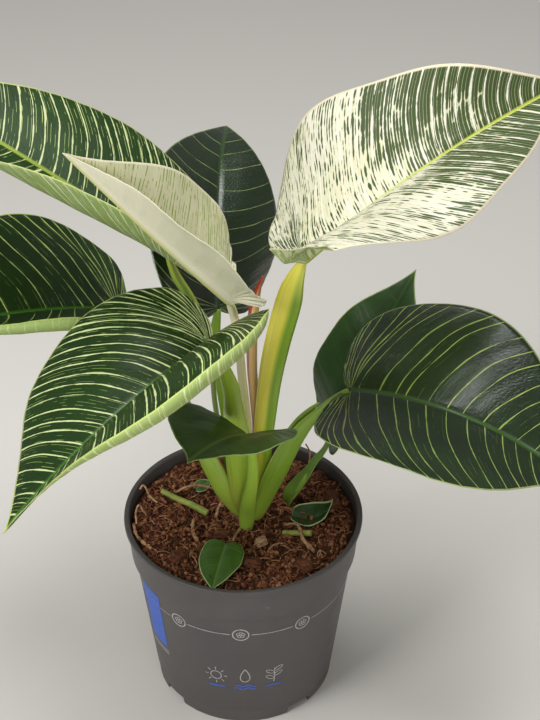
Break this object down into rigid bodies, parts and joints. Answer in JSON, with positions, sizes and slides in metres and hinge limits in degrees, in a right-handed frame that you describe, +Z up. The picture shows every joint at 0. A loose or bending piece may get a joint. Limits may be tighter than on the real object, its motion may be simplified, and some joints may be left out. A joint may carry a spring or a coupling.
{
  "type": "variegated philodendron house plant in a nursery pot",
  "caption": "Heart-shaped variegated leaves on clasping stalks rise from a short stem, rooted in bark soil in a tapered plastic pot with a collar and foot notches.",
  "frame": {"origin": "centre of the pot's flat base disc, on the surface it stands on", "axes": "+Z up along the pot's axis, -Y to the viewer of the picture, +X to the viewer's right"},
  "size_m": [0.3372, 0.2559, 0.3272],
  "materials": {
    "pot": "satin moulded plastic, warm dark grey",
    "soil": "loose bark and coir, matte",
    "stem": "woody stem and roots, matte",
    "leaf_cream": "waxy cream leaf with green flecks",
    "leaf_new": "waxy cream leaf, plain outside",
    "leaf_pinstripe": "glossy dark green with dense cream stripes",
    "leaf_thin_stripe": "glossy dark green with thin stripes",
    "leaf_striped": "glossy dark green with strong cream stripes",
    "leaf_glossy": "very glossy dark green with thin stripes",
    "leaf_dark": "very glossy dark green, faint veins",
    "leaf_plain": "plain green with a pale margin",
    "leaf_small": "plain grey-green",
    "stalk_right_high": "smooth, satin",
    "stalk_left_high": "smooth, satin",
    "stalk_new": "smooth, satin",
    "stalk_back": "smooth, satin",
    "stalk_left_low": "smooth, satin",
    "stalk_front": "smooth, satin",
    "stalk_small": "smooth, satin",
    "stalk_right_low": "smooth, satin",
    "stalk_back_low": "smooth, satin",
    "spear": "smooth, peach with a red side",
    "sheath": "smooth, satin",
    "leaf_fallen": "plain green with a pale margin",
    "leaf_fallen_dark": "dark green with a pale rim",
    "stub": "cut green stalk",
    "twig": "dry, matte",
    "bark": "rough, matte"
  },
  "bodies": {
    "root": {"pot": "pot", "soil": "soil", "stem": "stem", "blade_right_high": "leaf_cream", "blade_new": "leaf_new", "blade_left_high": "leaf_pinstripe", "blade_left_low": "leaf_thin_stripe", "blade_front": "leaf_striped", "blade_right_low": "leaf_glossy", "blade_back": "leaf_dark", "blade_back_low": "leaf_plain", "blade_small": "leaf_small", "petiole_right_high": "stalk_right_high", "petiole_left_high": "stalk_left_high", "petiole_new": "stalk_new", "petiole_back": "stalk_back", "petiole_left_low": "stalk_left_low", "petiole_front": "stalk_front", "petiole_small": "stalk_small", "petiole_right_low": "stalk_right_low", "petiole_back_low": "stalk_back_low", "spear": "spear", "sheath_right": "sheath", "sheath_back": "sheath", "small_soil_leaf": "leaf_fallen", "curled_leaf": "leaf_fallen_dark", "leaf_scrap": "leaf_fallen", "stub_left": "stub", "stub_right": "stub", "small_leaf_stalk": "twig", "twig_left": "twig", "twig_front_left": "twig", "twig_by_stalk": "twig", "twig_right": "twig", "twig_far_left": "twig", "root_curl": "twig", "root_curl_high": "twig", "root_back": "twig", "bark_1": "bark", "bark_2": "bark", "bark_3": "bark", "bark_4": "bark", "bark_5": "bark", "bark_6": "bark", "bark_7": "bark", "beige_chip": "twig"}
  },
  "joints": []
}
